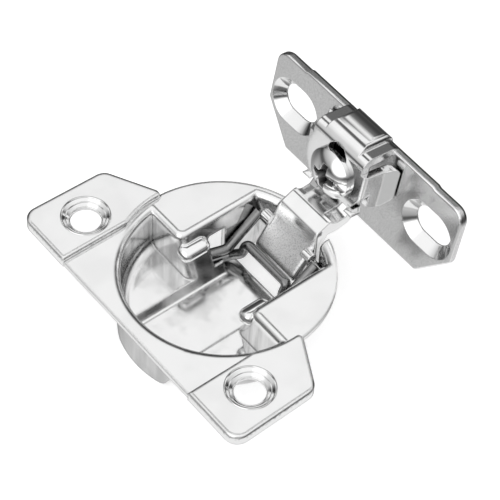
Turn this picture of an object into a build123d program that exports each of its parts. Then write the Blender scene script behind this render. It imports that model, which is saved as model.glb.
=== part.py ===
"""Concealed cup hinge with a folded mounting plate, in millimetres.

The origin is on the cup's axis, in the plane of the door's inner face. +Z points out of the door,
+X from the cup towards the arm and +Y along the door's edge. The hinge is drawn fully open.
"""
from build123d import *
import math
import os

# Cup pressing: one sheet, drawn into a cup for a 35 mm bore
SHEET = 1.0                 # sheet thickness
CUP_R = 17.3                # outer radius of the drawn cup
RIM_R = CUP_R + 0.8         # edge of the flange round the cup
MOUTH_R = 1.2               # rounding of the pocket's mouth
STRIP_X = -(CUP_R + 2.1)    # straight edge of the flange between the ears
LOBE_X = -1.9               # where the side lobes end under the shoulders
LOBE_FLOOR_Z = -7.5         # inside floor of the lobes
LOBE_FLOOR_R = 1.8          # rounding between lobe wall and lobe floor
CHANNEL_FLOOR_Z = -9.3      # inside floor of the middle channel
CHANNEL_TOP_HALF = 9.1      # half width of the channel at the flange
CHANNEL_FOOT_HALF = 5.3     # half width of the channel at its floor
CHANNEL_FOOT_R = 0.7        # rounding between channel wall and floor
CORNER_R = 1.6              # rounding of the pocket's upright corners
RECESS_X = 5.2              # where the channel widens for the spring's legs
RECESS_HALF = 7.9           # half width of the channel beside the legs
RECESS_TOP_Z = -1.4         # upper end of the widened part
WINDOW_X = 8.2              # near edge of the floor window
NOTCH_HALF = 5.4            # half width of the gap in the rim for the arm

# Screw ears
SCREW_PITCH = 42.0          # distance between the two ear holes
SCREW_X = -11.5             # the holes' line, from the cup's axis
EAR_RISE = 1.0              # how far the ears are raised over the flange
EAR_BACK_X = STRIP_X - 0.2  # straight back edge of an ear
EAR_END_Y = 27.5            # outer end of an ear
EAR_INNER_Y = 16.0          # inner edge of an ear
EAR_TIP_X = -3.6            # outer front corner of an ear
EAR_ROOT_X = 1.0            # inner front corner of an ear
EAR_ROOT_Y = 18.6
EAR_EDGE_R = 0.5            # rounding of an ear's upper edge
EAR_CORNER_R = 2.4          # rounding of an ear's corners in plan
EAR_ROOT_R = 0.6            # rounding of the corners beside the pocket
HOLE_R = 2.6                # screw hole
SINK_R = 3.9                # countersink at the ear's face
SINK_DEPTH = 1.1
DIMPLE_LAND = 0.6           # straight wall of the hole under the countersink

# Pivot
PIVOT_X = 14.45
PIVOT_Z = -3.95
PIN_R = 0.9
PIN_HALF = 7.9              # half length of the pin
PIN_CLEARANCE = 0.04        # radial play of the pin in the arm

# Spring wire
WIRE_R = 0.85
CROSSBAR_X = 9.16
CROSSBAR_Z = -4.73
CROSSBAR_HALF = 5.2
LEG_Y = 7.0
LEG_TOP_X = 13.1
LEG_TOP_Z = -1.1
LEG_SLOPE_DEG = 36.4
LEG_FOOT_X = 6.5
HAIRPIN_X = 1.2             # far end of the wire's turns behind the channel wall
HAIRPIN_Y = 8.7
HAIRPIN_HEIGHT = 2.1
WALL_SLOT_TOP_Z = -1.7
WALL_SLOT_FRONT_X = 6.8

# Arm strap
ARM_SHEET = 1.65
WEB_GAP = 2.61              # from the pin's axis to the web's front face
WEB_ANGLE_DEG = 54.6        # slope of the web against the door
WEB_ABOVE = 3.25            # web above the point nearest to the pin
WEB_BELOW = 3.5             # web below that point
WEB_HALF = 5.1
NECK_HALF = 4.5
NECK_RISE_X = 1.2           # from the web's top to the bend over the rim
NECK_RISE_Z = 2.3
NECK_TOP_Z = 3.6            # upper face of the neck over the rim
NECK_TOP_X = 17.7
CHEEK_EYE_R = 1.95          # cheek round the pin
CHEEK_END_U = 6.2           # where the cheeks run out on the upright's back
FOOT_R = 1.2                # bends of the strap's front face, from the foot up
WEB_BEND_R = 0.8
NECK_BEND_R = 1.0
UPRIGHT_BEND_R = 2.3
ARM_EDGE_R = 0.9            # rounding of the channel's outer edges
RIB_HALF = 2.4              # half width of the rib in the upright's bend
DENT_DEPTH = 0.6            # dents beside the rib
DENT_START = 4.2            # ends of the dent and of its floor, from the bend's corner
DENT_FLOOR_START = 3.1
DENT_FLOOR_END = 1.35
DENT_END = 0.35
DENT_HEAD = 1.4
DENT_LEAN_DEG = 12
SHOULDER_U = 6.15           # lower edge of the lugs at the upright's foot
SHOULDER_N = 6.3            # their edge towards the cup
SHOULDER_HALF = 6.05
SHOULDER_HEIGHT = 0.65
LUG_X = 13.3                # small lugs on the web's sides
LUG_Z = -0.7
LUG_R = 0.9
LUG_HALF = 6.0
ARM_FRONT_N = 4.5           # front face of the arm's upright, from the plate's front
ARM_END_U = 15.2            # upper end of the arm's upright
FOOT_CURL_X = 0.9           # curled lower end of the web
FOOT_CURL_Z = 2.0
NECK_DEPTH = 3.1            # height of the neck over its turned-down sides

# Mounting plate, in its own frame: N out of its front face, U up along it
PLATE_TILT_DEG = 8.77       # lean of the plate away from the cup, fully open
PLATE_X = 26.13             # lower edge of the plate's front face
PLATE_Z = -2.85
PLATE_SHEET = 1.9
PLATE_FRONT_R = 0.35        # rounding of the plate's front edge
PLATE_BACK_R = 0.9          # rounding of its back edge
PLATE_HALF = 22.4
PLATE_HEIGHT = 17.5
PLATE_CHAMFER_Y = 6.05
PLATE_CHAMFER_U = 7.0
PLATE_CORNER_R = 2.5
PLATE_STEP = 0.25           # how far the middle of the top edge stands over its ends
STEP_Y = 15.2
SLOT_EDGE = 6.1             # from a slot's middle to the plate's end
SLOT_PITCH = 2 * (PLATE_HALF - SLOT_EDGE)
SLOT_U = 9.35
SLOT_R = 2.6
SLOT_LENGTH = 7.7
SLOT_SINK = 1.7             # how far the countersink reaches beyond the slot

# Bracket folded from the plate
BRACKET_SHEET = 1.5
HOOD_TOP_U = 18.1
HOOD_HALF = 5.85
HOOD_R = 1.9
FACE_N = 6.25               # outer face of the bracket's front
FACE_HALF = 6.9
FACE_FOOT_U = 7.45          # straight foot of the front face
FACE_FOOT_HALF = 5.1
FACE_CORNER_U = 10.9        # where the foot's slanted corners reach the side bends
BEAD_HALF = 3.9             # raised bead along the middle of the hood
BEAD_RISE = 1.05
BEAD_BACK_N = -1.75
BEAD_BACK_R = 2.0           # rounding of the bead towards the plate
BEAD_FRONT_R = 3.4          # rounding in which it fades into the front face
BEAD_END_R = 0.9
CREASE_N = 2.5
CREASE_Y = 7.2
FLANGE_END_N = 0.3
FLANGE_END_Y = 8.6
FLANGE_SHEET = 1.4
FLANGE_TOP_U = 15.3
FLANGE_EAR = 0.5            # how far the flange's back corner stands over its top
FLANGE_BACK_U = 9.7         # foot of the flange at its back edge
FLANGE_FOOT_U = 7.9         # lowest edge of the flange
FLANGE_FOOT_NEAR = 1.9      # ends of that edge, from the plate's face
FLANGE_FOOT_FAR = 3.3
FLANGE_KNEE_N = 5.1         # where the foot's slope meets the front face's bend
FLANGE_KNEE_U = 8.8
FLANGE_ROOT_U = 9.2
FACE_SLOT_R = 2.2
FACE_SLOT_LOW_U = 8.1
FACE_SLOT_TOP_U = 17.2

# Adjusting screw
SCREW_U = 11.3
SCREW_R = 2.0
SCREW_HEAD_R = 4.35
SCREW_RIM = 0.75            # straight rim of the head
SCREW_DOME = 1.7            # rise of the head's dome
SCREW_TIP_N = 0.9
SCREW_CLEARANCE = 0.05
RECESS_R = 2.55             # reach of the cross recess
RECESS_WIDTH = 1.5
RECESS_DEPTH = 1.9
RECESS_CORNER_R = 0.45
RECESS_TAPER_DEG = 18


def cylinder_z(radius, low, high):
    """A disc between two heights on the cup's axis."""
    return extrude(Plane.XY.offset(low) * Circle(radius), high - low)


def box(low, high):
    """A box between two corners."""
    size = [b - a for a, b in zip(low, high)]
    centre = [(a + b) / 2 for a, b in zip(low, high)]
    return Pos(*centre) * Box(*size)


def both_sides(solid):
    """A solid and its mirror image across the middle plane."""
    return solid + mirror(solid, about=Plane.XZ)


def upright_edges(solid, x, y, reach=1.0):
    """Edges that stand near one point of the plan."""
    return solid.edges().filter_by(
        lambda e: abs(e.center().X - x) < reach
        and abs(abs(e.center().Y) - y) < reach + 0.8
        and e.bounding_box().size.Z > 3 * max(e.bounding_box().size.X, 0.01)
    )


# ---------------------------------------------------------------- cup

def channel_slope():
    """How far the channel wall leans out for each millimetre of height."""
    return (CHANNEL_TOP_HALF - CHANNEL_FOOT_HALF) / (SHEET - CHANNEL_FLOOR_Z)


def channel(grow, top_z):
    """The middle channel along X, with its walls moved out by grow."""
    slope = channel_slope()
    shift = grow * math.hypot(1, slope)
    foot = CHANNEL_FOOT_HALF + shift - slope * grow
    top = CHANNEL_TOP_HALF + shift + slope * (top_z - SHEET)
    floor_z = CHANNEL_FLOOR_Z - grow
    section = Plane.YZ * Polygon((-foot, floor_z), (foot, floor_z), (top, top_z), (-top, top_z), align=None)
    body = extrude(section, 2 * CUP_R, both=True)
    return fillet(body.edges().filter_by(Axis.X).group_by(Axis.Z)[0], CHANNEL_FOOT_R + grow)


def bowl(grow, top_z):
    """The cup's hollow, or with grow its outer skin."""
    radius = CUP_R - SHEET + grow
    lobes = cylinder_z(radius, LOBE_FLOOR_Z - grow, top_z)
    lobes -= box((LOBE_X + grow, -2 * CUP_R, -2 * CUP_R), (2 * CUP_R, 2 * CUP_R, 2 * CUP_R))
    lobes = fillet(lobes.edges().group_by(Axis.Z)[0].filter_by(GeomType.CIRCLE), LOBE_FLOOR_R + grow)
    recess = box((RECESS_X - grow, -RECESS_HALF - grow, CHANNEL_FLOOR_Z - grow),
                 (2 * CUP_R, RECESS_HALF + grow, RECESS_TOP_Z + grow))
    middle = (channel(grow, top_z) + recess) & cylinder_z(radius, CHANNEL_FLOOR_Z - grow, top_z)
    return lobes + middle


def pan():
    """Flange and drawn cup, with the pocket's mouth rounded."""
    disc = Circle(RIM_R)
    strip = Pos(STRIP_X / 2, 0) * Rectangle(-STRIP_X, 2 * (EAR_INNER_Y + SHEET))
    hollow = bowl(0, SHEET)
    hollow = fillet(upright_edges(hollow, LOBE_X, CHANNEL_TOP_HALF - 1.5), CORNER_R)
    skin = bowl(SHEET, SHEET)
    body = extrude(disc + strip, SHEET) + skin - hollow
    mouth = body.edges().filter_by(
        lambda e: abs(e.center().Z - SHEET) < 1e-3 and e.bounding_box().max.X < CUP_R
        and e.bounding_box().min.X > -CUP_R and abs(e.center().Y) < CUP_R - SHEET)
    return fillet(mouth, MOUTH_R)


def ear_plan():
    """Plan of the ear at +Y, kept clear of the pocket's rounded mouth."""
    outline = Polygon(
        (EAR_BACK_X, EAR_INNER_Y), (EAR_BACK_X, EAR_END_Y), (EAR_TIP_X, EAR_END_Y - 0.4),
        (EAR_ROOT_X, EAR_ROOT_Y), (EAR_ROOT_X, EAR_INNER_Y), align=None)
    corners = outline.vertices().filter_by(lambda v: v.Y > EAR_ROOT_Y + 0.1)
    outline = fillet(corners, EAR_CORNER_R)
    outline -= Circle(CUP_R - SHEET + MOUTH_R)
    roots = outline.vertices().filter_by(lambda v: v.Y < EAR_ROOT_Y + 0.1 and v.X > EAR_BACK_X + 1)
    return fillet(roots, EAR_ROOT_R)


def ear(side):
    """One raised, hollow ear with its countersunk hole."""
    top_z = SHEET + EAR_RISE
    pad = extrude(ear_plan(), top_z, dir=(0, 0, 1))
    pad = fillet(pad.edges().group_by(Axis.Z)[-1], EAR_EDGE_R)
    hollow = extrude(offset(ear_plan(), -SHEET), EAR_RISE, dir=(0, 0, 1))
    centre = Pos(SCREW_X, SCREW_PITCH / 2)
    dimple = centre * cylinder_z(HOLE_R + SHEET, top_z - SINK_DEPTH - DIMPLE_LAND, top_z - SHEET / 2)
    hole = centre * cylinder_z(HOLE_R, -SHEET, top_z + SHEET)
    sink = centre * Pos(0, 0, top_z - SINK_DEPTH / 2) * Cone(HOLE_R, SINK_R, SINK_DEPTH)
    parts = [pad, hollow, dimple, hole + sink]
    if side < 0:
        parts = [mirror(p, about=Plane.XZ) for p in parts]
    return parts


def cup():
    """The whole pressing."""
    body = pan()
    for side in (1, -1):
        pad, hollow, dimple, hole = ear(side)
        body = body + pad - hollow + dimple - hole
    window = box((WINDOW_X, -RECESS_HALF, CHANNEL_FLOOR_Z - 2 * SHEET),
                 (2 * CUP_R, RECESS_HALF, CHANNEL_FLOOR_Z))
    notch = box((CUP_R - 3, -NOTCH_HALF, CHANNEL_FLOOR_Z - 2 * SHEET), (2 * CUP_R, NOTCH_HALF, 2 * SHEET))
    body = body - window - notch
    wall_slot = box((RECESS_X - 2 * SHEET, CHANNEL_FOOT_HALF + 0.9, CHANNEL_FLOOR_Z),
                    (WALL_SLOT_FRONT_X, RECESS_HALF + 2 * SHEET, WALL_SLOT_TOP_Z))
    wall_slot = fillet(wall_slot.edges().filter_by(Axis.Y), 0.6)
    body -= both_sides(wall_slot)
    body -= pin_shape(PIN_CLEARANCE)
    return body


# ---------------------------------------------------------------- pin and spring

def pin_shape(clearance):
    """The pin, or with a clearance its hole."""
    axis = Plane((PIVOT_X, 0, PIVOT_Z), z_dir=(0, 1, 0))
    return extrude(axis * Circle(PIN_R + clearance), PIN_HALF + clearance, both=True)


def pivot_pin():
    """Plain pin with broken edges."""
    pin = pin_shape(0)
    return chamfer(pin.edges().filter_by(GeomType.CIRCLE), 0.15)


def closing_spring():
    """One bent wire: crossbar, hairpins behind the channel walls, and two free legs."""
    slope = math.tan(math.radians(LEG_SLOPE_DEG))
    leg_foot_z = LEG_TOP_Z - (LEG_TOP_X - LEG_FOOT_X) * slope
    hairpin_z = leg_foot_z - 0.45
    return_z = hairpin_z - HAIRPIN_HEIGHT
    half = [
        (LEG_TOP_X, LEG_Y, LEG_TOP_Z),
        (LEG_FOOT_X, LEG_Y, leg_foot_z),
        (HAIRPIN_X + 2.2, HAIRPIN_Y - 0.4, hairpin_z),
        (HAIRPIN_X, HAIRPIN_Y, hairpin_z),
        (HAIRPIN_X, HAIRPIN_Y + 0.1, return_z),
        (HAIRPIN_X + 2.4, HAIRPIN_Y - 0.4, return_z),
        (LEG_FOOT_X + 0.5, LEG_Y - 0.1, return_z + 0.75),
        (CROSSBAR_X - 0.9, CROSSBAR_HALF, CROSSBAR_Z - 1.9),
        (CROSSBAR_X, CROSSBAR_HALF, CROSSBAR_Z),
    ]
    points = half + [(x, -y, z) for x, y, z in reversed(half)]
    radii = [2.0, 1.4, 1.05, 1.05, 1.4, 1.4, 0.95, 0.95]
    path = FilletPolyline(*points, radius=radii + list(reversed(radii)))
    section = Plane(origin=path @ 0, z_dir=path % 0) * Circle(WIRE_R)
    return sweep(section, path=path)


# ---------------------------------------------------------------- plate frame

def plate_frame():
    """Frame of the plate: X out of its front face, Z up along it."""
    tilt = math.radians(PLATE_TILT_DEG)
    front = (-math.cos(tilt), 0, math.sin(tilt))
    up = (math.sin(tilt), 0, math.cos(tilt))
    return Plane(origin=(PLATE_X, 0, PLATE_Z), x_dir=front, z_dir=up)


def plate_point(n, u):
    """A point of the plate's frame in the plane across Y, as (x, z)."""
    place = plate_frame().from_local_coords(Vector(n, 0, u))
    return (place.X, place.Z)


# ---------------------------------------------------------------- arm

def web_frame():
    """Point of the web nearest to the pin, and the directions down the web and out of it, as (x, z)."""
    angle = math.radians(WEB_ANGLE_DEG)
    down = (-math.cos(angle), -math.sin(angle))
    out = (-math.sin(angle), math.cos(angle))
    near = (PIVOT_X + WEB_GAP * out[0], PIVOT_Z + WEB_GAP * out[1])
    return near, down, out


def strap_points():
    """Front face of the strap from its curled foot to the upright's end, as (x, z) points."""
    near, down, out = web_frame()
    top = (near[0] - WEB_ABOVE * down[0], near[1] - WEB_ABOVE * down[1])
    foot = (near[0] + WEB_BELOW * down[0], near[1] + WEB_BELOW * down[1])
    curl = (foot[0] + FOOT_CURL_X, foot[1] - FOOT_CURL_Z)
    bend = (top[0] + NECK_RISE_X, top[1] + NECK_RISE_Z)
    upright_u = (NECK_TOP_Z - plate_point(ARM_FRONT_N, 0)[1]) / math.cos(math.radians(PLATE_TILT_DEG))
    corner = plate_point(ARM_FRONT_N, upright_u)
    end = plate_point(ARM_FRONT_N, ARM_END_U)
    return [curl, foot, top, bend, (NECK_TOP_X, NECK_TOP_Z), corner, end]


def across(points, half):
    """A profile given as (x, z) points, drawn out to both sides."""
    return extrude(make_face(Polyline(*[(x, 0, z) for x, z in points], close=True)), half, both=True)


def strap_line():
    """Front face of the strap with its bends."""
    return FilletPolyline(*[(x, 0, z) for x, z in strap_points()],
                          radius=[FOOT_R, WEB_BEND_R, WEB_BEND_R, NECK_BEND_R, UPRIGHT_BEND_R])


def strap_sheet():
    """Section of the bent sheet."""
    return make_face(offset(strap_line(), amount=ARM_SHEET, side=Side.RIGHT).edges())


def arm_section():
    """Side view of the whole arm: the sheet, and the cheeks behind it round the pin and under the neck."""
    line = strap_line()
    far = Polyline(line @ 1, (2 * PLATE_X, 0, 2 * CUP_R), (2 * PLATE_X, 0, -2 * CUP_R), line @ 0)
    behind = make_face(line.edges() + far.edges())
    foot, top, bend, neck, corner = strap_points()[1:6]
    tail = plate_point(ARM_FRONT_N - ARM_SHEET, CHEEK_END_U)
    keel = [(tail[0] - 1.4, neck[1] - 0.6 * NECK_DEPTH), (tail[0] - 2.4, neck[1] - 0.88 * NECK_DEPTH),
            (neck[0] + 2.0, neck[1] - NECK_DEPTH), (neck[0], neck[1] - 0.92 * NECK_DEPTH),
            (PIVOT_X + CHEEK_EYE_R + 0.3, PIVOT_Z + 3.2), (PIVOT_X + CHEEK_EYE_R, PIVOT_Z)]
    outline = [foot, top, bend, neck, corner, tail] + keel
    cheek = make_face(Polyline(*[(x, 0, z) for x, z in outline], close=True)) & behind
    eye = Plane((PIVOT_X, 0, PIVOT_Z), z_dir=(0, 1, 0)) * Circle(CHEEK_EYE_R)
    return strap_sheet() + cheek + eye


def arm_plan(inset):
    """Plan of the arm: broad over the web, narrower from the neck on."""
    web_end = strap_points()[2][0] + 0.25
    neck_start = strap_points()[3][0] - 0.2
    half = [(0, WEB_HALF - inset), (web_end, WEB_HALF - inset), (neck_start, NECK_HALF - inset),
            (2 * PLATE_X, NECK_HALF - inset)]
    outline = half + [(x, -y) for x, y in reversed(half)]
    return extrude(make_face(Polyline(*outline, close=True)), 2 * CUP_R, both=True)


def corner_dent():
    """Tool that dents the sheet beside the rib in the upright's bend, at +Y."""
    corner_x = strap_points()[5][0]
    low = NECK_TOP_Z - DENT_DEPTH
    outline = [(corner_x - DENT_START, NECK_TOP_Z), (corner_x - DENT_FLOOR_START, low),
               (corner_x - DENT_FLOOR_END, low), (corner_x - DENT_END, NECK_TOP_Z + 0.5),
               (corner_x - DENT_HEAD, NECK_TOP_Z + 2.0), (corner_x - DENT_START, NECK_TOP_Z + 2.0)]
    face = make_face(Polyline(*[(x, RIB_HALF, z) for x, z in outline], close=True))
    tool = extrude(face, WEB_HALF, dir=(0, 1, 0))
    return tool.rotate(Axis((0, RIB_HALF, low), (1, 0, 0)), -DENT_LEAN_DEG)


def shoulder_lugs():
    """Pointed lugs beside the foot of the upright."""
    top = SHOULDER_U + SHOULDER_HEIGHT
    section = [(SHOULDER_N, SHOULDER_U), (ARM_FRONT_N + 0.8, top), (ARM_FRONT_N - 0.9, top),
               (ARM_FRONT_N - 0.2, SHOULDER_U)]
    root = NECK_HALF - 0.3
    plan = [(root, SHOULDER_U), (SHOULDER_HALF, SHOULDER_U), (NECK_HALF + 0.7, top), (root, top)]
    lug = extrude(make_face(Polyline(*[(n, 0, u) for n, u in section], close=True)), SHOULDER_HALF, both=True)
    lug &= extrude(make_face(Polyline(*[(0, y, u) for y, u in plan], close=True)), 2 * FACE_N, both=True)
    return plate_frame() * both_sides(lug)


def rounded_block(half):
    """The arm's side view drawn out to both sides, with its front edges rounded."""
    line = strap_line()
    block = extrude(arm_section(), half, both=True)
    rims = [e for e in block.edges() if abs(e.center().Y) > half - 0.01
            and line.distance_to(Vertex(e.center().X, 0, e.center().Z)) < 0.05]
    return fillet(rims, ARM_EDGE_R)


def hinge_arm():
    """Pressed arm: channel with cheeks on the pin, cranked over the rim, and a threaded upright."""
    body = (rounded_block(WEB_HALF) & arm_plan(0)) + rounded_block(NECK_HALF)
    body -= extrude(arm_section() - strap_sheet(), WEB_HALF, both=True) & arm_plan(ARM_SHEET)
    body -= both_sides(corner_dent())
    body += shoulder_lugs()
    side_lug = Plane((LUG_X, 0, LUG_Z), z_dir=(0, 1, 0)) * Circle(LUG_R)
    body += extrude(side_lug, LUG_HALF, both=True) - extrude(side_lug, WEB_HALF - 1, both=True)
    body -= pin_shape(PIN_CLEARANCE)
    screw_hole = Cylinder(SCREW_R + SCREW_CLEARANCE, 4 * FACE_N)
    body -= plate_frame() * Pos(0, 0, SCREW_U) * Rot(0, 90, 0) * screw_hole
    return body


# ---------------------------------------------------------------- plate with its bracket

def face_foot():
    """Tool under the front face: a straight foot between slanted corners."""
    reach = 8.0
    side = (FACE_FOOT_HALF, FACE_FOOT_U)
    rise = (FACE_HALF - 0.1, FACE_CORNER_U)
    slope = (rise[1] - side[1]) / (rise[0] - side[0])
    far = (reach, side[1] + slope * (reach - side[0]))
    half = [(reach, 0), far, side]
    points = half + [(-y, u) for y, u in reversed(half)]
    line = FilletPolyline(*[(FACE_N + 1, y, u) for y, u in points], close=True, radius=0.5)
    return extrude(make_face(line), BRACKET_SHEET + 1.3, dir=(-1, 0, 0))


def hood_and_face():
    """Strip folded over the top: hood and front face, with a raised bead along the hood."""
    points = [(-PLATE_SHEET, 0, PLATE_HEIGHT - 3.5), (-PLATE_SHEET, 0, HOOD_TOP_U), (FACE_N, 0, HOOD_TOP_U),
              (FACE_N, 0, FACE_FOOT_U - 1)]
    line = FilletPolyline(*points, radius=HOOD_R)
    sheet = make_face(offset(line, amount=BRACKET_SHEET, side=Side.RIGHT).edges())
    hood = extrude(sheet, HOOD_HALF, both=True)
    face = extrude(sheet, FACE_HALF - 0.4, both=True) & box((FACE_N - 2 * BRACKET_SHEET, -FACE_HALF, 0),
                                                            (FACE_N, FACE_HALF, FLANGE_TOP_U))
    crest = HOOD_TOP_U + BEAD_RISE
    bead_line = FilletPolyline((BEAD_BACK_N, 0, HOOD_TOP_U - 1), (BEAD_BACK_N, 0, crest), (FACE_N, 0, crest),
                               (FACE_N, 0, crest - BEAD_FRONT_R - 1), (FACE_N - 1, 0, HOOD_TOP_U - 1),
                               close=True, radius=[0.01, BEAD_BACK_R, BEAD_FRONT_R, 0.01, 0.01])
    bead = extrude(make_face(bead_line), BEAD_HALF, both=True)
    across_line = FilletPolyline((0, -BEAD_HALF, 0), (0, -BEAD_HALF, crest), (0, BEAD_HALF, crest),
                                 (0, BEAD_HALF, 0), close=True, radius=[0.01, BEAD_END_R, BEAD_END_R, 0.01])
    bead &= extrude(make_face(across_line), 2 * FACE_N, both=True)
    return hood + face + bead


def side_flange():
    """Side wall of the bracket at +Y: bent back from the front face and flared at its crease."""
    outer = FilletPolyline((FACE_N, FACE_HALF - 2.0, 0), (FACE_N, FACE_HALF, 0), (CREASE_N, CREASE_Y, 0),
                           (FLANGE_END_N, FLANGE_END_Y, 0), radius=[0.8, 1.5])
    wall = make_face(offset(outer, amount=FLANGE_SHEET, side=Side.LEFT).edges())
    body = extrude(wall, 2 * PLATE_HEIGHT, dir=(0, 0, 1))
    ear_u = FLANGE_TOP_U + FLANGE_EAR
    outline = [(FACE_N + 1, FLANGE_TOP_U), (CREASE_N - 0.3, FLANGE_TOP_U), (CREASE_N - 1.2, ear_u),
               (FLANGE_END_N, ear_u), (FLANGE_END_N, FLANGE_BACK_U), (FLANGE_FOOT_NEAR, FLANGE_FOOT_U),
               (FLANGE_FOOT_FAR, FLANGE_FOOT_U), (FLANGE_KNEE_N, FLANGE_KNEE_U), (FACE_N + 1, FLANGE_ROOT_U)]
    side = FilletPolyline(*[(n, 0, u) for n, u in outline], close=True,
                          radius=[0.01, 0.5, 0.5, 0.6, 0.8, 1.0, 1.0, 0.8, 0.01])
    return body & extrude(make_face(side), 2 * PLATE_HALF, both=True)


def plate_blank():
    """The flat plate with cut corners, a softly rounded front edge and a rounder back edge."""
    half = [(0, PLATE_HALF - PLATE_CHAMFER_Y), (PLATE_CHAMFER_U, PLATE_HALF), (PLATE_HEIGHT, PLATE_HALF),
            (PLATE_HEIGHT, STEP_Y + 2 * PLATE_STEP), (PLATE_HEIGHT + PLATE_STEP, STEP_Y)]
    outline = Polygon(*half, *[(u, -y) for u, y in reversed(half)], align=None)
    top_corners = outline.vertices().filter_by(
        lambda v: v.X > PLATE_HEIGHT - 0.1 and abs(v.Y) > PLATE_HALF - 0.1)
    outline = fillet(top_corners, PLATE_CORNER_R)
    outline = fillet(outline.vertices().filter_by(lambda v: v.X < PLATE_CHAMFER_U + 0.1), 0.8)
    face_plane = Plane(origin=(0, 0, 0), x_dir=(0, 0, 1), z_dir=(1, 0, 0))
    body = extrude(face_plane * outline, PLATE_SHEET, dir=(-1, 0, 0))
    body = fillet(body.faces().sort_by(Axis.X)[-1].edges(), PLATE_FRONT_R)
    return fillet(body.faces().sort_by(Axis.X)[0].edges(), PLATE_BACK_R)


def mounting_plate():
    """Plate with two countersunk slots and the bracket folded from its middle."""
    body = plate_blank()
    slot_plane = Plane(origin=(0, 0, 0), x_dir=(0, 1, 0), z_dir=(1, 0, 0))
    slot = extrude(slot_plane * SlotOverall(SLOT_LENGTH, 2 * SLOT_R), 2 * PLATE_SHEET, both=True)
    wide = slot_plane * SlotOverall(SLOT_LENGTH + 2 * SLOT_SINK, 2 * (SLOT_R + SLOT_SINK))
    sink = extrude(wide, SLOT_SINK, dir=(-1, 0, 0), taper=45)
    for side in (1, -1):
        body -= Pos(0, side * SLOT_PITCH / 2, SLOT_U) * (slot + sink)
    bracket = hood_and_face() + both_sides(side_flange())
    body += bracket - face_foot()
    face_slot = Plane(origin=(0, 0, 0), x_dir=(0, 0, 1), z_dir=(1, 0, 0)) * Pos(
        (FACE_SLOT_LOW_U + FACE_SLOT_TOP_U) / 2, 0) * SlotOverall(
            FACE_SLOT_TOP_U - FACE_SLOT_LOW_U, 2 * FACE_SLOT_R)
    body -= Pos(FACE_N - 2 * BRACKET_SHEET, 0, 0) * extrude(face_slot, 4 * BRACKET_SHEET)
    return plate_frame() * body


def adjusting_screw():
    """Pan-head screw with a cross recess."""
    head = Cylinder(SCREW_HEAD_R, SCREW_RIM, align=(Align.CENTER, Align.CENTER, Align.MIN))
    ball_r = (SCREW_HEAD_R ** 2 + SCREW_DOME ** 2) / (2 * SCREW_DOME)
    dome = Pos(0, 0, SCREW_RIM + SCREW_DOME - ball_r) * Sphere(ball_r)
    dome &= Pos(0, 0, SCREW_RIM) * Cylinder(
        SCREW_HEAD_R, SCREW_DOME, align=(Align.CENTER, Align.CENTER, Align.MIN))
    shank = Cylinder(SCREW_R, FACE_N - SCREW_TIP_N, align=(Align.CENTER, Align.CENTER, Align.MAX))
    body = head + dome + shank
    top = SCREW_RIM + SCREW_DOME
    cross = Rectangle(2 * RECESS_R, RECESS_WIDTH) + Rectangle(RECESS_WIDTH, 2 * RECESS_R)
    inner = cross.vertices().filter_by(lambda v: math.hypot(v.X, v.Y) < RECESS_R)
    cross = fillet(inner, RECESS_CORNER_R)
    body -= extrude(Pos(0, 0, top) * cross, RECESS_DEPTH, dir=(0, 0, -1), taper=RECESS_TAPER_DEG)
    return plate_frame() * Pos(FACE_N, 0, SCREW_U) * Rot(0, 90, 0) * body


# ---------------------------------------------------------------- output

NODES = {
    "cup": cup,
    "pivot_pin": pivot_pin,
    "closing_spring": closing_spring,
    "hinge_arm": hinge_arm,
    "mounting_plate": mounting_plate,
    "adjusting_screw": adjusting_screw,
}

os.makedirs("parts", exist_ok=True)
for name, make in NODES.items():
    solid = make()
    print(name, round(solid.volume, 1), len(solid.solids()), solid.is_valid)
    export_step(solid, f"parts/{name}.step")
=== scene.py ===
"""Looks of the concealed cup hinge: plated finishes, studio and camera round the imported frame."""

import math

import bmesh
import bpy
from bpy.props import FloatProperty, FloatVectorProperty, PointerProperty
from mathutils import Matrix, Vector
from mathutils.bvhtree import BVHTree


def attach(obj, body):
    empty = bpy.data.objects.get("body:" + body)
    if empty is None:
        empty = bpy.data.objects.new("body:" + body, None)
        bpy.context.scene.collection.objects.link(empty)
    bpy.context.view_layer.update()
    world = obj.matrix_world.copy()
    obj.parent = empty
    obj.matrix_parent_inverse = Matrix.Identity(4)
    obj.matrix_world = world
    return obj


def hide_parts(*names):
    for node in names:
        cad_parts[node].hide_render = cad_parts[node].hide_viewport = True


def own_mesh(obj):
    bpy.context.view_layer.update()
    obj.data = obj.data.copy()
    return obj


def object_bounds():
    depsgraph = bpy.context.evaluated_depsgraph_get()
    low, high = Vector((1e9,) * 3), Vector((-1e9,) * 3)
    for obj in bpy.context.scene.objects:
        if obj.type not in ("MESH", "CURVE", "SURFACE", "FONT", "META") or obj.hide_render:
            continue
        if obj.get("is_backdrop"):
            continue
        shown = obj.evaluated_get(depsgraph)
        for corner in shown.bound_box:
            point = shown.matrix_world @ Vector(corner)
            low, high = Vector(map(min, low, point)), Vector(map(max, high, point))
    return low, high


bl_info = {
    "name": "Concealed Cup Hinge",
    "version": (1, 0, 0),
    "blender": (4, 5, 0),
    "location": "View3D > Sidebar > Cup Hinge",
    "description": "Dresses a concealed cup hinge with its plated finishes and a small studio",
    "category": "Object",
}

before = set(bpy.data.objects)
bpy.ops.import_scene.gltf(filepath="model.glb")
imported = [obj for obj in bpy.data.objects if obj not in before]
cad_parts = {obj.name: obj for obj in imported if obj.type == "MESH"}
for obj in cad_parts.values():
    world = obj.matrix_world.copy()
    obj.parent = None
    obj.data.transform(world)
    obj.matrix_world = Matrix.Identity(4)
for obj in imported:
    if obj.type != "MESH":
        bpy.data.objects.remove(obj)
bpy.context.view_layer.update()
MM = 0.001


# ---------------------------------------------------------------- shader maths

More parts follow.
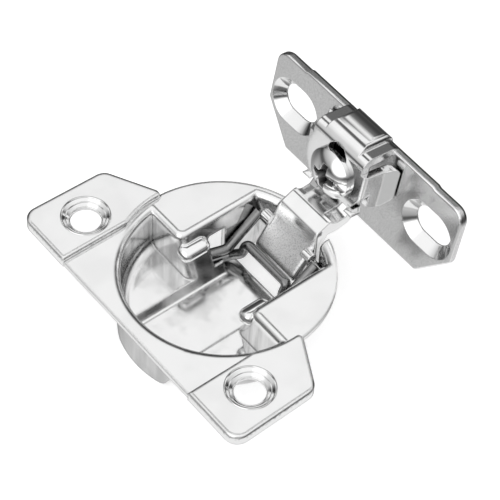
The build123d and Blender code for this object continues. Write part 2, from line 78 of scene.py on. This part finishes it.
class Socket:
    """A shader socket that adds Math nodes when it is used in an expression."""

    def __init__(self, tree, link):
        self.tree = tree
        self.link = link

    def _math(self, operation, first, second=None):
        return self.tree.node("ShaderNodeMath", {"operation": operation}, {0: first, 1: second})

    def __add__(self, other):
        return self._math("ADD", self, other)

    def __radd__(self, other):
        return self._math("ADD", other, self)

    def __sub__(self, other):
        return self._math("SUBTRACT", self, other)

    def __rsub__(self, other):
        return self._math("SUBTRACT", other, self)

    def __mul__(self, other):
        return self._math("MULTIPLY", self, other)

    def __rmul__(self, other):
        return self._math("MULTIPLY", other, self)

    def most(self, other):
        """The larger of the two."""
        return self._math("MAXIMUM", self, other)

    def size(self):
        """The value without its sign."""
        return self._math("ABSOLUTE", self)

    def over(self, low, high):
        """0 below low, 1 above high and smooth between them."""
        span = {"Value": self, "From Min": low, "From Max": high}
        return self.tree.node("ShaderNodeMapRange", {"interpolation_type": "SMOOTHSTEP"}, span)


class Tree:
    """A node tree under construction."""

    def __init__(self, tree):
        self.nodes = tree.nodes
        self.links = tree.links

    def node(self, kind, settings, inputs, output=0):
        """Adds a node, sets it up, feeds its sockets and gives one of its outputs."""
        made = self.nodes.new(kind)
        for key, value in settings.items():
            if key == "stops":
                self._stops(made.color_ramp, value)
            else:
                setattr(made, key, value)
        for key, value in inputs.items():
            self._feed(made.inputs[key], value)
        return Socket(self, made.outputs[output])

    def _stops(self, ramp, stops):
        while len(ramp.elements) < len(stops):
            ramp.elements.new(0.5)
        for element, (position, colour) in zip(ramp.elements, stops):
            element.position = position
            element.color = (*colour, 1)

    def _feed(self, socket, value):
        if isinstance(value, Socket):
            self.links.new(value.link, socket)
        elif value is not None:
            socket.default_value = value

    def mix(self, mask, first, second):
        """The first colour where the mask is 0, the second where it is 1."""
        first, second = [(*c, 1) if isinstance(c, tuple) else c for c in (first, second)]
        colours = {"Factor": mask, "A": first, "B": second}
        return self.node("ShaderNodeMix", {"data_type": "RGBA"}, colours, "Result")

    def split(self, vector):
        """The three parts of a vector."""
        parts = self.node("ShaderNodeSeparateXYZ", {}, {0: vector})
        return [Socket(self, out) for out in parts.link.node.outputs]


class Finish(Tree):
    """A material under construction."""

    def __init__(self, name):
        self.material = bpy.data.materials.new(name)
        self.material.use_nodes = True
        super().__init__(self.material.node_tree)
        self.shader = self.nodes["Principled BSDF"]
        self.place = self.node("ShaderNodeTexCoord", {}, {}, "Object")

    def set(self, **inputs):
        """Feeds sockets of the shader."""
        for key, value in inputs.items():
            self._feed(self.shader.inputs[key.replace("_", " ")], value)

    def noise(self, per_mm, detail=2.0, roughness=0.5, stretch=(1, 1, 1)):
        """Noise from 0 to 1 with so many bumps per millimetre."""
        in_mm = {"Vector": self.place, "Scale": [share / MM for share in stretch]}
        scaled = self.node("ShaderNodeMapping", {}, in_mm)
        return self.node("ShaderNodeTexNoise", {}, {"Vector": scaled, "Scale": per_mm, "Detail": detail,
                                                    "Roughness": roughness}, "Fac")

    def bump(self, height, strength, depth_mm, edge_mm=0.0):
        """Relief in the surface, over edges that are broken by a small radius."""
        edge = None
        if edge_mm:
            edge = self.node("ShaderNodeBevel", {"samples": EDGE_SAMPLES}, {"Radius": edge_mm * MM})
        return self.node("ShaderNodeBump", {}, {"Height": height, "Strength": strength,
                                                "Distance": depth_mm * MM, "Normal": edge}, "Normal")

    def axes(self):
        """Where a point of the surface is."""
        return self.split(self.place)

    def facing(self):
        """Which way the surface faces there."""
        return self.split(self.node("ShaderNodeTexCoord", {}, {}, "Normal"))

    def tone(self, mask, shade, roughness):
        """Multiplies the colour by a shade and moves the roughness where the mask is 1."""
        base = Socket(self, self.shader.inputs["Base Color"].links[0].from_socket)
        gloss = Socket(self, self.shader.inputs["Roughness"].links[0].from_socket)
        tint = self.node("ShaderNodeCombineColor", {}, {"Red": shade, "Green": shade, "Blue": shade})
        shaded = self.node("ShaderNodeVectorMath", {"operation": "MULTIPLY"}, {0: base, 1: tint})
        self.set(Base_Color=self.mix(mask, base, shaded), Roughness=gloss + mask * (roughness - gloss))


CREVICE = 2.2                   # mm over which shade is painted into a fold
CREVICE_SPAN = (0.10, 0.62)     # open air at which the painted shade is full and gone
CREVICE_SAMPLES = 8
EDGE_SAMPLES = 6
CLOUD_SHADE = 0.955
# darkness of the shade painted into folds
PAINTED_FOLD_SHADE = 0.30
WAVE_DEPTH, WAVE_STRENGTH = 0.05, 0.1   # the depth in mm


def plating(name, colour, roughness, edge_mm):
    """Bright nickel over pressed steel: slightly wavy, with faint clouding, broken edges and shade painted
    into its folds.
    """
    finish = Finish(name)
    cloud = finish.noise(0.15, 3)
    grain = finish.noise(9.0, 2)
    dull = tuple(CLOUD_SHADE * c for c in colour)
    painted_shade = tuple(PAINTED_FOLD_SHADE * c for c in colour)
    # Painted shade: the colour darkens where ambient occlusion finds a fold.
    open_air = finish.node("ShaderNodeAmbientOcclusion", {"samples": CREVICE_SAMPLES},
                           {"Distance": CREVICE * MM}, "AO")
    plate = finish.mix(cloud.over(0.40, 0.70), colour, dull)
    finish.set(Base_Color=finish.mix(open_air.over(*CREVICE_SPAN), painted_shade, plate), Metallic=1.0,
               Roughness=roughness + 0.05 * cloud + 0.03 * grain)
    relief = 0.9 * finish.noise(0.3, 1) + 0.1 * grain
    finish.set(Normal=finish.bump(relief, WAVE_STRENGTH, WAVE_DEPTH, edge_mm))
    return finish


ON_WEB = (0.05 * MM, 0.22 * MM)     # distance from the web's plane over which the grain fades
ON_FRONT = (0.05 * MM, 0.25 * MM)   # the same for the plate's front
SATIN = 0.30                        # roughness of what is grainy


def satin_web(finish, near, out):
    """Leaves the arm's sloping web grainy and satin up to its bend; its brightest flecks, above the plating's
    own colour, are painted glints.
    """
    x, _, z = finish.axes()
    depth = (x - near[0]) * out[0] + (z - near[1]) * out[1]
    along = (x - near[0]) * out[1] - (z - near[1]) * out[0]
    mask = (1 - depth.size().over(*ON_WEB)) * (1 - along.over(WEB_GRAIN_TOP, WEB_GRAIN_END))
    # Grain speckle; where it lifts the colour above the plating it paints glints.
    speckle = finish.noise(4.6, 4, 0.7).over(0.36, 0.60)
    finish.tone(mask, 0.70 + 0.48 * speckle, SATIN)


STREAK_STRETCH = (1.2, 1.2, 0.14)
FINE_STRETCH = (1.2, 1.2, 0.08)
INSIDE = (-6.0 * MM, -4.0 * MM)     # a wall that faces away from the cup's axis by more is an outer one
BELOW_RIM = (0.2 * MM, 1.6 * MM)    # depth at which the walls' painted shade and streaks start and are full
EAR_FLANK = (1.0 * MM, 1.3 * MM)    # height above which only the ears have flanks
FLOOR_DEPTH = (6.0 * MM, 8.0 * MM)


def drawn_and_shaded_walls(finish):
    """Paints shade onto the cup's walls, streaked like draw marks, pits the ears' flanks and clouds the
    pocket's floor.
    """
    x, y, z = finish.axes()
    nx, ny, nz = finish.facing()
    inside = (0 - x * nx - y * ny).over(*INSIDE)
    upright = (1 - nz.size()).over(0.45, 0.80) * (0 - z).over(*BELOW_RIM)
    streak = finish.noise(0.55, 2, 0.5, STREAK_STRETCH).over(0.32, 0.66)
    fine = finish.noise(2.2, 2, 0.5, FINE_STRETCH).over(0.30, 0.70)
    # Painted shade darkens the inner and outer walls; the streaks in it are draw marks.
    finish.tone(upright * inside, 0.54 + 0.22 * streak + 0.06 * fine, 0.17)
    finish.tone(upright * (1 - inside), 0.58 + 0.12 * streak, 0.14)
    flank = (1 - nz.size()).over(0.30, 0.70) * z.over(*EAR_FLANK)
    pits = finish.noise(2.4, 3, 0.6).over(0.50, 0.60)
    finish.tone(flank, 1.0 - 0.35 * pits, 0.10)
    stain = finish.noise(0.22, 2, 0.5).over(0.48, 0.70) * (0 - z).over(*FLOOR_DEPTH)
    finish.tone(stain, 0.86, 0.16)


def sheared_edges(finish):
    """Leaves the plate's cut edges and the bracket's cut ends grainy, and the plate's front a little."""
    x, _, z = finish.axes()
    nx, ny, nz = finish.facing()
    out = (x - PLATE_X * MM) * FRONT[0] + (z - PLATE_Z * MM) * FRONT[1]
    across = (nx * FRONT[0] + nz * FRONT[1]).size()
    plate_edge = (1 - across).over(0.80, 0.97) * (0 - out).over(-0.02 * MM, 0.25 * MM)
    cut_end = ny.size().over(0.93, 0.99) * out.over(0.1 * MM, 0.3 * MM)
    grit = finish.noise(4.5, 4, 0.75).over(0.32, 0.62)
    finish.tone(plate_edge.most(cut_end), 0.62 + 0.36 * grit, SATIN)
    front = across.over(0.97, 0.995) * (1 - out.size().over(*ON_FRONT))
    finish.tone(front, 0.82 + 0.22 * grit, 0.17)


def shaded_recess(finish):
    """Paints shade into the cross recess below the head's dome, darker and rougher there."""
    x, y, z = finish.axes()
    out = (x - HEAD_X * MM) * FRONT[0] + (z - HEAD_Z * MM) * FRONT[1]
    side = (x - HEAD_X * MM) * FRONT[1] - (z - HEAD_Z * MM) * FRONT[0]
    reach = side * side + y * y
    depth = (HEAD_DOME * MM - out) - reach * (1 / (2 * HEAD_BALL_R * MM))
    near = 1 - reach.over((RECESS_R[0] * MM) ** 2, (RECESS_R[1] * MM) ** 2)
    finish.tone(depth.over(0.10 * MM, 0.30 * MM) * near, RECESS_SHADE, SATIN)


def spring_steel(name, colour):
    """Dark drawn wire under a film of oil."""
    finish = Finish(name)
    draw = finish.noise(3.0, 3, 0.5, (1, 0.2, 1))
    finish.set(Base_Color=finish.mix(draw, colour, tuple(1.7 * c for c in colour)), Metallic=1.0,
               Roughness=0.10 + 0.15 * draw, Normal=finish.bump(draw, 0.15, 0.02))
    return finish


# ---------------------------------------------------------------- settings

class HingeFinish(bpy.types.PropertyGroup):
    """Colours and gloss of the metal."""
    nickel: FloatVectorProperty(name="Nickel", description="Colour of the bright plating", subtype="COLOR",
                                default=(0.93, 0.93, 0.93), min=0, max=1)
    wire: FloatVectorProperty(name="Spring Wire", description="Colour of the spring's steel", subtype="COLOR",
                              default=(0.20, 0.20, 0.20), min=0, max=1)
    gloss: FloatProperty(name="Roughness", description="Roughness of the bright plating", subtype="FACTOR",
                         default=0.06, min=0, max=1)
    hood_top: FloatProperty(name="Hood Crown", description="Rise of the hood's crowned bead",
                            subtype="DISTANCE", default=0.14 * MM, min=0, max=0.3 * MM)
    thread_pitch: FloatProperty(name="Thread Pitch", description="Pitch of the adjusting screw's thread",
                                subtype="DISTANCE", default=0.8 * MM, min=0.4 * MM, max=1.5 * MM)


class HingeStudio(bpy.types.PropertyGroup):
    """Light and floor."""
    room: FloatProperty(name="Room", description="Brightness of the room round the hinge", default=1.0, min=0)
    floor: FloatProperty(name="Floor Glow", description="Own light of the pale floor", default=0.6, min=0)


# ---------------------------------------------------------------- modelling

TILT = math.radians(8.77)       # lean of the plate
FRONT = (-math.cos(TILT), math.sin(TILT))
PLATE_X, PLATE_Z = 26.13, -2.85     # mm, foot of the plate's front
FACE_N, SCREW_U = 6.25, 11.3        # mm, bracket's face before the plate and screw's height along it
HEAD_X = PLATE_X + FACE_N * FRONT[0] + SCREW_U * math.sin(TILT)
HEAD_Z = PLATE_Z + FACE_N * FRONT[1] + SCREW_U * math.cos(TILT)
HEAD_DOME = 2.45                # mm, height of the screw's head
HEAD_BALL_R = 6.415             # mm, radius of its dome
RECESS_R = (2.4, 2.7)           # mm, where the painted shade of its cross ends
# darkness of the shade painted into the recess
RECESS_SHADE = 0.42
SHARP = math.radians(32)        # edges that stay sharp turn by more
FLAT = math.radians(0.4)        # faces that turn by less become one
MERGE = 0.001 * MM              # corners nearer than this are one
SLIVER = 0.01 * MM              # strips along a cut that are narrower than this are merged

# Millimetres, unless a value is multiplied by MM here.
BEAD_CREST = 19.15              # height of the hood's bead along the plate
BEAD_MIDDLE = 1.55              # its middle before the plate
BEAD_LENGTH = 2.6
BEAD_STEPS = 8                  # flats along its crown
AT_CREST = 0.02                 # what lies this little below the crest belongs to it
UPWARD = 0.99                   # share of its normal by which its flats point up
SCREW_TIP = 0.9                 # before the plate, as SHANK_END
SHANK_END = FACE_N - 0.4
THREAD_CREST_R = 1.98
THREAD_ROOT_R = 1.62
THREAD_TOOTH = ((0.0, THREAD_ROOT_R), (0.15, THREAD_ROOT_R), (0.50, THREAD_CREST_R), (0.65, THREAD_CREST_R))
THREAD_STEPS = 32
EAR_HOLE = (-11.5, 21.0)        # x of the ears' holes, and y on either side
HOLE_RIMS = ((3.95, 1.95, 0.15), (3.30, 1.46, 0.12), (2.62, 0.92, 0.10))    # radius, height, thickness
RIM_STEPS, RIM_SIDES = 64, 10
TAB_AT = (0.25, -2.2)           # x and z of the pads' middles
TAB_SIZE = (5.6, 3.2, 2.7)
TAB_ROUND = 1.3
TAB_STEPS = 5
PIVOT = (14.45, -3.95)          # x and z of the arm's axis
WEB_GAP = 2.61                  # web's face before that axis
WEB_SLOPE = math.radians(54.6)
WEB_GRAIN_TOP, WEB_GRAIN_END = 4.7 * MM, 5.3 * MM
WEB_OUT = (-math.sin(WEB_SLOPE), math.cos(WEB_SLOPE))
WEB_NEAR = ((PIVOT[0] + WEB_GAP * WEB_OUT[0]) * MM, (PIVOT[1] + WEB_GAP * WEB_OUT[1]) * MM)


def once(things):
    """The things as a list, each one time and in their order."""
    return list(dict.fromkeys(things))


def plate_place():
    """Frame of the plate: X out of its front, Z up along it, in metres."""
    turn = Matrix(((-math.cos(TILT), 0, math.sin(TILT)), (0, -1, 0), (math.sin(TILT), 0, math.cos(TILT))))
    return Matrix.Translation((PLATE_X * MM, 0, PLATE_Z * MM)) @ turn.transposed().to_4x4()


def merged_copy(node, flat=FLAT):
    """The shape of a CAD node as one closed skin, with its flats in one piece."""
    shape = bmesh.new()
    shape.from_mesh(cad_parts[node].data)
    bmesh.ops.remove_doubles(shape, verts=shape.verts, dist=MERGE)
    if flat:
        bmesh.ops.dissolve_limit(shape, angle_limit=flat, verts=shape.verts, edges=shape.edges)
    return shape


def make_piece(name, shape, body, finish, nodes=()):
    """Turns a shape into a piece of the hinge that moves with a body."""
    shape.normal_update()
    bmesh.ops.recalc_face_normals(shape, faces=shape.faces)
    for face in shape.faces:
        face.smooth = True
    for edge in shape.edges:
        edge.smooth = edge.is_manifold and edge.calc_face_angle(0.0) < SHARP
    mesh = bpy.data.meshes.new(name)
    shape.to_mesh(mesh)
    shape.free()
    piece = bpy.data.objects.new(name, mesh)
    bpy.context.scene.collection.objects.link(piece)
    mesh.materials.append(finish.material)
    weighted = piece.modifiers.new("even_flats", "WEIGHTED_NORMAL")
    weighted.keep_sharp = True
    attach(piece, body)
    if nodes:
        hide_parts(*nodes)
    return piece


def bright(context, name, edge_mm):
    """Plating in the colour and gloss that are set."""
    look = context.scene.hinge_finish
    return plating(name, tuple(look.nickel), look.gloss, edge_mm)


def dress(node, finish):
    """Gives a CAD node its finish."""
    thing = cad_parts[node]
    for place in thing.material_slots:
        place.material = finish.material


def trim(shape, at, **cleared):
    """Cuts a shape across X, clears one side, merges the slivers along the cut and closes it."""
    bmesh.ops.bisect_plane(shape, geom=shape.verts[:] + shape.edges[:] + shape.faces[:],
                           plane_co=(at, 0, 0), plane_no=(1, 0, 0), **cleared)
    bmesh.ops.remove_doubles(shape, verts=shape.verts, dist=SLIVER)
    bmesh.ops.holes_fill(shape, edges=[e for e in shape.edges if e.is_boundary])


def add_thread(shape, low, high, pitch):
    """A rolled thread along X: one tooth profile swept round the axis and trimmed at both ends."""
    thread = bmesh.new()
    turns = int((high - low) / pitch) + 2
    profile = []
    for turn in range(turns):
        start = low - pitch + turn * pitch
        for along, radius in THREAD_TOOTH:
            profile.append(thread.verts.new((start + along * pitch, radius * MM, 0)))
    line = [thread.edges.new(pair) for pair in zip(profile, profile[1:])]
    bmesh.ops.spin(thread, geom=profile + line, cent=(0, 0, 0), axis=(1, 0, 0),
                   dvec=(pitch / THREAD_STEPS, 0, 0), angle=math.tau, steps=THREAD_STEPS)
    bmesh.ops.remove_doubles(thread, verts=thread.verts, dist=MERGE)
    trim(thread, low, clear_inner=True)
    trim(thread, high, clear_outer=True)
    mesh = bpy.data.meshes.new("thread")
    thread.to_mesh(mesh)
    thread.free()
    shape.from_mesh(mesh)
    bpy.data.meshes.remove(mesh)


# ---------------------------------------------------------------- studio

# The room: directions are horizontal unless they have three parts, spans are where a part fades in or out.
FAR_SIDE = (0.67, 0.74)
FAR_SPAN = (0.20, 0.60)
CARD_NEAR, CARD_FAR, CARD_HEIGHT, CARD_LEVEL = (0.22, 0.30), (0.42, 0.50), (0.75, 0.85), 0.10
BOARD = (0.746, -0.666)
BOARD_SPAN, BOARD_TOP, BOARD_FOOT, BOARD_LEVEL = (0.50, 0.72), (0.20, 0.36), (-0.50, -0.36), 0.04
WINDOW = (-0.86, -0.22, 0.46)
WINDOW_SPAN, WINDOW_LEVEL = (0.84, 0.92), 1.3
# Grey levels from straight down (0) to straight up (1).
DIM_SIDE = ((0.0, 0.45), (0.30, 0.16), (0.52, 0.02), (0.70, 0.06), (0.80, 0.16), (0.815, 0.20), (0.87, 0.93),
            (1.0, 1.0))
CLEAR_SIDE = ((0.0, 0.90), (0.13, 0.88), (0.17, 0.52), (0.22, 0.54), (0.42, 0.34), (0.48, 0.10), (0.54, 0.10),
              (0.60, 0.42), (0.75, 0.75), (0.85, 1.0), (1.0, 1.0))

IMAGE_PX = 500
SENSOR_MM = 36.0
CAMERA_AZIMUTH = -41.7277
CAMERA_ELEVATION = 51.0732
CAMERA_ROLL = 3.8102
CAMERA_FOCAL_PX = 2249.01
CAMERA_DISTANCE = 354.537 * MM
CAMERA_SHIFT_PX = (223.639 - IMAGE_PX / 2, 268.176 - IMAGE_PX / 2)
AIM_Z = 1.0 * MM                # height of the point over the cup's axis that the camera is placed from
FLOOR_HALF = 3.0
FLOOR_GAP = 0.05 * MM
FLOOR_GREY = 0.86


def camera_place():
    """Rotation and centre of the camera."""
    azimuth, elevation, roll = map(math.radians, (CAMERA_AZIMUTH, CAMERA_ELEVATION, CAMERA_ROLL))
    back = Vector((math.sin(azimuth) * math.cos(elevation), -math.cos(azimuth) * math.cos(elevation),
                   math.sin(elevation)))
    right = Vector((0, 0, 1)).cross(back).normalized()
    up = back.cross(right)
    across = math.cos(roll) * right + math.sin(roll) * up
    upward = -math.sin(roll) * right + math.cos(roll) * up
    scale = CAMERA_DISTANCE / CAMERA_FOCAL_PX
    centre = -CAMERA_SHIFT_PX[0] * scale * across + CAMERA_SHIFT_PX[1] * scale * upward
    centre += CAMERA_DISTANCE * back + Vector((0, 0, AIM_Z))
    return Matrix((across, upward, back)).transposed(), centre


def grey(level):
    """A neutral colour."""
    return (level, level, level)


def grey_ramp(tree, fac, stops):
    """Grey levels along a value from 0 to 1."""
    stops = [(at, grey(level)) for at, level in stops]
    return tree.node("ShaderNodeValToRGB", {"stops": stops}, {"Fac": fac}, "Color")


def studio_world(light):
    """Room: a clear near side, a dim far side, a bright ceiling and cards for the metal to mirror."""
    world = bpy.data.worlds.new("studio_room")
    world.use_nodes = True
    bpy.context.scene.world = world
    room = Tree(world.node_tree)
    way = room.node("ShaderNodeTexCoord", {}, {}, "Generated")
    x, y, z = room.split(way)
    height = z * 0.5 + 0.5
    reach = x * FAR_SIDE[0] + y * FAR_SIDE[1]
    dim = grey_ramp(room, height, DIM_SIDE)
    clear = grey_ramp(room, height, CLEAR_SIDE)
    level = room.mix(reach.over(*FAR_SPAN), clear, dim)
    card = reach.over(*CARD_NEAR) * (1 - reach.over(*CARD_FAR)) * z.over(*CARD_HEIGHT)
    level = room.mix(card, level, grey(CARD_LEVEL))
    board = (x * BOARD[0] + y * BOARD[1]).over(*BOARD_SPAN) * (1 - z.over(*BOARD_TOP)) * z.over(*BOARD_FOOT)
    level = room.mix(board, level, grey(BOARD_LEVEL))
    window = (x * WINDOW[0] + y * WINDOW[1] + z * WINDOW[2]).over(*WINDOW_SPAN)
    level = room.mix(window, level, grey(WINDOW_LEVEL))
    seen = room.node("ShaderNodeLightPath", {}, {}, "Is Camera Ray")
    shade = room.nodes["Background"]
    room.links.new(room.mix(seen, level, grey(1.0)).link, shade.inputs["Color"])
    shade.inputs["Strength"].default_value = light.room


# ---------------------------------------------------------------- operators

class HINGE_OT_dress_pressings(bpy.types.Operator):
    """Give the cup, its pin and the arm their plating"""
    bl_idname = "hinge.dress_pressings"
    bl_label = "Plate the Pressings"

    def execute(self, context):
        cup = bright(context, "cup_nickel", 0.6)
        drawn_and_shaded_walls(cup)
        dress("cup", cup)
        dress("pivot_pin", bright(context, "pin_nickel", 0.2))
        arm = bright(context, "arm_nickel", 0.3)
        satin_web(arm, WEB_NEAR, WEB_OUT)
        dress("hinge_arm", arm)
        return {"FINISHED"}


class HINGE_OT_build_plate(bpy.types.Operator):
    """Build the mounting plate with the crowned bead of its hood"""
    bl_idname = "hinge.build_plate"
    bl_label = "Crown the Hood"

    def execute(self, context):
        shape = merged_copy("mounting_plate")
        place = plate_place()
        shape.transform(place.inverted())
        shape.normal_update()
        top = context.scene.hinge_finish.hood_top
        middle, half = BEAD_MIDDLE * MM, BEAD_LENGTH / 2 * MM
        low = (BEAD_CREST - AT_CREST) * MM
        for step in range(1, BEAD_STEPS):
            cut = middle + half * (2 * step / BEAD_STEPS - 1)
            crest = [f for f in shape.faces if f.calc_center_median().z > low and f.normal.z > UPWARD]
            around = once(e for f in crest for e in f.edges) + once(v for f in crest for v in f.verts)
            bmesh.ops.bisect_plane(shape, geom=crest + around, plane_co=(cut, 0, 0), plane_no=(1, 0, 0))
        for vert in shape.verts:
            if vert.co.z > low:
                along = (vert.co.x - middle) / half
                vert.co.z += top * max(0.0, 1 - along * along)
        shape.transform(place)
        finish = bright(context, "plate_nickel", 0.25)
        sheared_edges(finish)
        make_piece("mounting_plate_pressing", shape, "plate_body", finish, ["mounting_plate"])
        return {"FINISHED"}


class HINGE_OT_build_screw(bpy.types.Operator):
    """Build the adjusting screw with its thread"""
    bl_idname = "hinge.build_screw"
    bl_label = "Thread the Screw"

    def execute(self, context):
        shape = merged_copy("adjusting_screw")
        place = plate_place() @ Matrix.Translation((0, 0, SCREW_U * MM))
        shape.transform(place.inverted())
        trim(shape, SHANK_END * MM, clear_inner=True)
        add_thread(shape, SCREW_TIP * MM, SHANK_END * MM, context.scene.hinge_finish.thread_pitch)
        shape.transform(place)
        finish = bright(context, "screw_nickel", 0.12)
        shaded_recess(finish)
        make_piece("adjusting_screw_threaded", shape, "screw_body", finish,
                   ["adjusting_screw"])
        return {"FINISHED"}


class HINGE_OT_build_hole_rims(bpy.types.Operator):
    """Build the rolled rims of the two countersunk ear holes"""
    bl_idname = "hinge.build_hole_rims"
    bl_label = "Roll the Hole Rims"

    def execute(self, context):
        shape = bmesh.new()
        for side in (1, -1):
            for radius, height, thick in HOLE_RIMS:
                centre = Vector((EAR_HOLE[0] * MM, side * EAR_HOLE[1] * MM, height * MM))
                ring = bmesh.ops.create_circle(shape, segments=RIM_SIDES, radius=thick * MM)["verts"]
                turn = Matrix.Rotation(math.pi / 2, 3, "X")
                bmesh.ops.rotate(shape, verts=ring, cent=(0, 0, 0), matrix=turn)
                bmesh.ops.translate(shape, verts=ring, vec=centre + Vector((radius * MM, 0, 0)))
                edges = once(e for v in ring for e in v.link_edges)
                bmesh.ops.spin(shape, geom=ring + edges, cent=centre, axis=(0, 0, 1), angle=math.tau,
                               steps=RIM_STEPS, use_merge=True)
        bmesh.ops.remove_doubles(shape, verts=shape.verts, dist=MERGE)
        make_piece("hole_rims", shape, "cup_body", bright(context, "rim_nickel", 0.0))
        return {"FINISHED"}


class HINGE_OT_build_wall_tabs(bpy.types.Operator):
    """Build the embossed pads on the channel's walls"""
    bl_idname = "hinge.build_wall_tabs"
    bl_label = "Emboss the Walls"

    def execute(self, context):
        wall = BVHTree.FromObject(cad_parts["cup"], context.evaluated_depsgraph_get())
        shape = bmesh.new()
        for side in (1, -1):
            start = Vector((TAB_AT[0] * MM, 0, TAB_AT[1] * MM))
            spot, normal, _, _ = wall.ray_cast(start, Vector((0, side, 0)))
            block = bmesh.ops.create_cube(shape, size=1.0)["verts"]
            bmesh.ops.scale(shape, verts=block, vec=[size * MM for size in TAB_SIZE])
            edges = once(e for v in block for e in v.link_edges)
            rounded = bmesh.ops.bevel(shape, geom=edges, offset=TAB_ROUND * MM, segments=TAB_STEPS,
                                      profile=0.5, affect="EDGES", material=-1)
            block = once(v for f in rounded["faces"] for v in f.verts)
            lean = Matrix.Rotation(math.atan2(normal.z, -side * normal.y) * side, 3, "X")
            bmesh.ops.rotate(shape, verts=block, cent=(0, 0, 0), matrix=lean)
            bmesh.ops.translate(shape, verts=block, vec=spot)
        make_piece("wall_tabs", shape, "cup_body", bright(context, "tab_nickel", 0.0))
        return {"FINISHED"}


class HINGE_OT_build_spring(bpy.types.Operator):
    """Build the closing spring, which the closing arm presses down into the cup"""
    bl_idname = "hinge.build_spring"
    bl_label = "Bend the Spring"

    def execute(self, context):
        finish = spring_steel("spring_wire", tuple(context.scene.hinge_finish.wire))
        shape = merged_copy("closing_spring", 0.0)
        piece = make_piece("closing_spring_wire", shape, "cup_body", finish,
                           ["closing_spring"])
        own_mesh(piece)
        return {"FINISHED"}


class HINGE_OT_build_stage(bpy.types.Operator):
    """Set up the pale floor, the soft light and the camera"""
    bl_idname = "hinge.build_stage"
    bl_label = "Build the Studio"

    def execute(self, context):
        light = context.scene.hinge_studio
        shape = bmesh.new()
        bmesh.ops.create_grid(shape, x_segments=1, y_segments=1, size=FLOOR_HALF)
        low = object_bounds()[0]
        bmesh.ops.translate(shape, verts=shape.verts, vec=(0, 0, low[2] - FLOOR_GAP))
        mesh = bpy.data.meshes.new("studio_floor")
        shape.to_mesh(mesh)
        shape.free()
        floor = bpy.data.objects.new("studio_floor", mesh)
        context.scene.collection.objects.link(floor)
        pale = Finish("pale_floor")
        pale.set(Base_Color=(*grey(FLOOR_GREY), 1), Roughness=0.9, Specular_IOR_Level=0.0,
                 Emission_Color=(1, 1, 1, 1), Emission_Strength=light.floor)
        mesh.materials.append(pale.material)
        floor.visible_glossy = False
        floor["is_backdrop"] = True
        studio_world(light)
        lens = bpy.data.cameras.new("main_camera")
        lens.sensor_width = SENSOR_MM
        lens.lens = SENSOR_MM * CAMERA_FOCAL_PX / IMAGE_PX
        lens.clip_start, lens.clip_end = 0.01, 10
        camera = bpy.data.objects.new("main_camera", lens)
        turn, centre = camera_place()
        camera.matrix_world = Matrix.Translation(centre) @ turn.to_4x4()
        context.scene.collection.objects.link(camera)
        context.scene.camera = camera
        context.scene.view_settings.view_transform = "Standard"
        return {"FINISHED"}


class HINGE_PT_panel(bpy.types.Panel):
    """Panel of the cup hinge"""
    bl_label = "Cup Hinge"
    bl_idname = "HINGE_PT_panel"
    bl_space_type = "VIEW_3D"
    bl_region_type = "UI"
    bl_category = "Cup Hinge"

    def draw(self, context):
        column = self.layout.column()
        for group in (context.scene.hinge_finish, context.scene.hinge_studio):
            for name in group.bl_rna.properties.keys():
                if name not in ("rna_type", "name"):
                    column.prop(group, name)
        for operator in OPERATORS:
            column.operator(operator.bl_idname)


# In the order in which main() calls them.
OPERATORS = (HINGE_OT_dress_pressings, HINGE_OT_build_spring, HINGE_OT_build_plate, HINGE_OT_build_screw,
             HINGE_OT_build_hole_rims, HINGE_OT_build_wall_tabs, HINGE_OT_build_stage)
CLASSES = (HingeFinish, HingeStudio, *OPERATORS, HINGE_PT_panel)


def register():
    for item in CLASSES:
        bpy.utils.register_class(item)
    bpy.types.Scene.hinge_finish = PointerProperty(type=HingeFinish)
    bpy.types.Scene.hinge_studio = PointerProperty(type=HingeStudio)


def unregister():
    del bpy.types.Scene.hinge_studio
    del bpy.types.Scene.hinge_finish
    for item in reversed(CLASSES):
        bpy.utils.unregister_class(item)


def main():
    register()
    bpy.ops.hinge.dress_pressings()
    bpy.ops.hinge.build_spring()
    bpy.ops.hinge.build_plate()
    bpy.ops.hinge.build_screw()
    bpy.ops.hinge.build_hole_rims()
    bpy.ops.hinge.build_wall_tabs()
    bpy.ops.hinge.build_stage()


if __name__ == "__main__":
    main()
